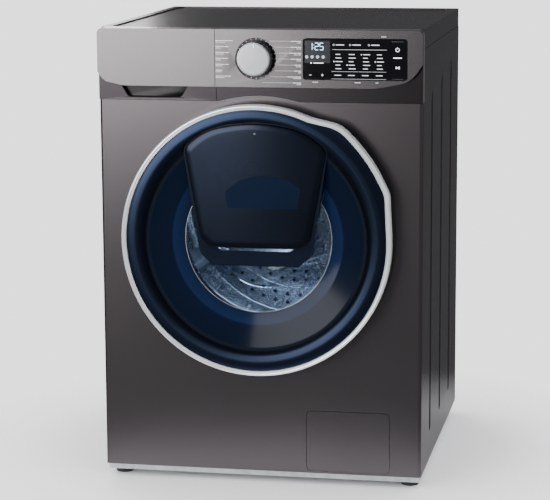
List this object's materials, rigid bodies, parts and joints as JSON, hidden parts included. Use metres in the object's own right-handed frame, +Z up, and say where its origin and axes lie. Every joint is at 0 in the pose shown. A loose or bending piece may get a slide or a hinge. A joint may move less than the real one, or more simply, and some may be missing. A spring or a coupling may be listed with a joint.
{
  "type": "front load washing machine",
  "caption": "Full-size front load washing machine with round glazed door, small add-clothes hatch, detergent drawer, programme knob and key display.",
  "frame": {"origin": "middle of the overall box, at floor level", "axes": "the front with the door faces -Y, +X is to the right seen from the front, +Z is up"},
  "size_m": [0.6, 0.665, 0.85],
  "materials": {
    "left_side_panel": "graphite satin paint on sheet steel",
    "right_side_panel": "graphite satin paint on sheet steel",
    "back_panel": "bare galvanised sheet",
    "rear_service_cover": "bare galvanised sheet",
    "top_plate": "graphite satin worktop in a plastic frame",
    "front_panel": "inox-look metallic paint",
    "base_tray": "galvanised sheet",
    "fascia": "inox-look metallic paint on plastic",
    "display_panel": "black gloss window",
    "dispenser_housing": "white moulding",
    "door_lock": "black moulding",
    "hinge_bracket": "die-cast zinc look",
    "door_seal": "grey rubber bellows",
    "drain_pump": "white moulding",
    "inlet_valve": "white moulding",
    "spring_left": "zinc-plated wire",
    "spring_right": "zinc-plated wire",
    "damper_cylinder_left": "black moulding",
    "damper_cylinder_right": "black moulding",
    "tub_front": "light grey polypropylene",
    "tub_rear": "light grey polypropylene",
    "counterweight_top": "bare concrete",
    "counterweight_front": "bare concrete",
    "motor": "dark painted stator",
    "damper_rod_left": "white moulding",
    "damper_rod_right": "white moulding",
    "drive_belt": "ribbed black belt",
    "bearing_front": "ground steel",
    "bearing_rear": "ground steel",
    "drum": "stainless, dimpled",
    "drum_spider": "cast aluminium with steel shaft",
    "drum_pulley": "cast aluminium",
    "drum_lifter_1": "grey moulding",
    "drum_lifter_2": "grey moulding",
    "drum_lifter_3": "grey moulding",
    "motor_pulley": "turned steel",
    "door_frame": "black moulding",
    "door_trim_ring": "bright chrome plating",
    "door_outer_cover": "blue-black gloss",
    "door_glass": "smoked glass",
    "add_door_frame": "black gloss moulding",
    "door_hook": "die-cast zinc",
    "add_door_cover": "blue-black gloss",
    "drawer_front": "inox-look metallic paint on plastic",
    "drawer_tray": "white moulding",
    "program_knob": "spun face, satin skirt",
    "service_flap": "inox-look metallic paint on plastic",
    "pump_filter": "black moulding",
    "foot_front_left": "black rubber",
    "foot_front_right": "black rubber",
    "foot_rear_left": "black rubber",
    "foot_rear_right": "black rubber",
    "minus_key": "satin black key",
    "plus_key": "satin black key",
    "temp_key": "satin black key",
    "rinse_key": "satin black key",
    "spin_key": "satin black key",
    "dry_key": "satin black key",
    "power_key": "satin black key",
    "start_key": "satin black key"
  },
  "bodies": {
    "cabinet": {"left_side_panel": "left_side_panel", "right_side_panel": "right_side_panel", "back_panel": "back_panel", "rear_service_cover": "rear_service_cover", "top_plate": "top_plate", "front_panel": "front_panel", "base_tray": "base_tray", "fascia": "fascia", "display_panel": "display_panel", "dispenser_housing": "dispenser_housing", "door_lock": "door_lock", "hinge_bracket": "hinge_bracket", "door_seal": "door_seal", "drain_pump": "drain_pump", "inlet_valve": "inlet_valve", "spring_left": "spring_left", "spring_right": "spring_right", "damper_cylinder_left": "damper_cylinder_left", "damper_cylinder_right": "damper_cylinder_right"},
    "tub": {"tub_front": "tub_front", "tub_rear": "tub_rear", "counterweight_top": "counterweight_top", "counterweight_front": "counterweight_front", "motor": "motor", "damper_rod_left": "damper_rod_left", "damper_rod_right": "damper_rod_right", "drive_belt": "drive_belt", "bearing_front": "bearing_front", "bearing_rear": "bearing_rear"},
    "drum": {"drum": "drum", "drum_spider": "drum_spider", "drum_pulley": "drum_pulley", "drum_lifter_1": "drum_lifter_1", "drum_lifter_2": "drum_lifter_2", "drum_lifter_3": "drum_lifter_3"},
    "motor_rotor": {"motor_pulley": "motor_pulley"},
    "door": {"door_frame": "door_frame", "door_trim_ring": "door_trim_ring", "door_outer_cover": "door_outer_cover", "door_glass": "door_glass", "add_door_frame": "add_door_frame"},
    "door_hook": {"door_hook": "door_hook"},
    "add_door": {"add_door_cover": "add_door_cover"},
    "drawer": {"drawer_front": "drawer_front", "drawer_tray": "drawer_tray"},
    "knob": {"program_knob": "program_knob"},
    "service_flap": {"service_flap": "service_flap"},
    "pump_filter": {"pump_filter": "pump_filter"},
    "foot_front_left": {"foot_front_left": "foot_front_left"},
    "foot_front_right": {"foot_front_right": "foot_front_right"},
    "foot_rear_left": {"foot_rear_left": "foot_rear_left"},
    "foot_rear_right": {"foot_rear_right": "foot_rear_right"},
    "minus_key": {"minus_key": "minus_key"},
    "plus_key": {"plus_key": "plus_key"},
    "temp_key": {"temp_key": "temp_key"},
    "rinse_key": {"rinse_key": "rinse_key"},
    "spin_key": {"spin_key": "spin_key"},
    "dry_key": {"dry_key": "dry_key"},
    "power_key": {"power_key": "power_key"},
    "start_key": {"start_key": "start_key"}
  },
  "joints": [
    {"name": "tub_suspension", "type": "slide", "parent": "cabinet", "child": "tub", "axis": [0, 0, 1], "range_m": [-0.01, 0.01], "stiffness_N_per_m": 20000, "springref_m": 0.01834, "deforming": ["spring_left", "spring_right", "door_seal"]},
    {"name": "drum_spin", "type": "hinge", "parent": "tub", "child": "drum", "pos_m": [0, -0.0225, 0.467], "axis": [0, 1, 0], "continuous": true},
    {"name": "motor_spin", "type": "hinge", "parent": "tub", "child": "motor_rotor", "pos_m": [0.06, 0.2175, 0.112], "axis": [0, 1, 0], "continuous": true},
    {"name": "door_hinge", "type": "hinge", "parent": "cabinet", "child": "door", "pos_m": [-0.236, -0.309, 0.467], "axis": [0, 0, -1], "range_deg": [0, 140]},
    {"name": "hook_pivot", "type": "hinge", "parent": "door", "child": "door_hook", "pos_m": [0.187, -0.2975, 0.467], "axis": [0, 0, 1], "range_deg": [0, 6], "stiffness_Nm_per_rad": 0.4, "springref_deg": -11.46},
    {"name": "add_door_hinge", "type": "hinge", "parent": "door", "child": "add_door", "pos_m": [-0.1315, -0.3315, 0.6], "axis": [0, 0, -1], "range_deg": [0, 95]},
    {"name": "drawer_slide", "type": "slide", "parent": "cabinet", "child": "drawer", "axis": [0, -1, 0], "range_m": [0, 0.225]},
    {"name": "knob_turn", "type": "hinge", "parent": "cabinet", "child": "knob", "pos_m": [-0.003, -0.2945, 0.797], "axis": [0, -1, 0], "continuous": true},
    {"name": "service_flap_hinge", "type": "hinge", "parent": "cabinet", "child": "service_flap", "pos_m": [0.164, -0.2825, 0.028], "axis": [1, 0, 0], "range_deg": [0, 90]},
    {"name": "pump_filter_turn", "type": "hinge", "parent": "cabinet", "child": "pump_filter", "pos_m": [0.165, -0.2665, 0.082], "axis": [0, -1, 0], "range_deg": [0, 90]},
    {"name": "foot_front_left_turn", "type": "hinge", "parent": "cabinet", "child": "foot_front_left", "pos_m": [-0.275, -0.2405, 0], "axis": [0, 0, 1], "continuous": true},
    {"name": "foot_front_right_turn", "type": "hinge", "parent": "cabinet", "child": "foot_front_right", "pos_m": [0.275, -0.2405, 0], "axis": [0, 0, 1], "continuous": true},
    {"name": "foot_rear_left_turn", "type": "hinge", "parent": "cabinet", "child": "foot_rear_left", "pos_m": [-0.275, 0.2755, 0], "axis": [0, 0, 1], "continuous": true},
    {"name": "foot_rear_right_turn", "type": "hinge", "parent": "cabinet", "child": "foot_rear_right", "pos_m": [0.275, 0.2755, 0], "axis": [0, 0, 1], "continuous": true},
    {"name": "minus_press", "type": "slide", "parent": "cabinet", "child": "minus_key", "axis": [0, 1, 0], "range_m": [0, 0.0012], "stiffness_N_per_m": 600, "springref_m": -0.001},
    {"name": "plus_press", "type": "slide", "parent": "cabinet", "child": "plus_key", "axis": [0, 1, 0], "range_m": [0, 0.0012], "stiffness_N_per_m": 600, "springref_m": -0.001},
    {"name": "temp_press", "type": "slide", "parent": "cabinet", "child": "temp_key", "axis": [0, 1, 0], "range_m": [0, 0.0012], "stiffness_N_per_m": 600, "springref_m": -0.001},
    {"name": "rinse_press", "type": "slide", "parent": "cabinet", "child": "rinse_key", "axis": [0, 1, 0], "range_m": [0, 0.0012], "stiffness_N_per_m": 600, "springref_m": -0.001},
    {"name": "spin_press", "type": "slide", "parent": "cabinet", "child": "spin_key", "axis": [0, 1, 0], "range_m": [0, 0.0012], "stiffness_N_per_m": 600, "springref_m": -0.001},
    {"name": "dry_press", "type": "slide", "parent": "cabinet", "child": "dry_key", "axis": [0, 1, 0], "range_m": [0, 0.0012], "stiffness_N_per_m": 600, "springref_m": -0.001},
    {"name": "power_press", "type": "slide", "parent": "cabinet", "child": "power_key", "axis": [0, 1, 0], "range_m": [0, 0.0012], "stiffness_N_per_m": 600, "springref_m": -0.001},
    {"name": "start_press", "type": "slide", "parent": "cabinet", "child": "start_key", "axis": [0, 1, 0], "range_m": [0, 0.0012], "stiffness_N_per_m": 600, "springref_m": -0.001}
  ],
  "couplings": [
    {"joint": "motor_spin", "follows": "drum_spin", "ratio": 12.5}
  ]
}
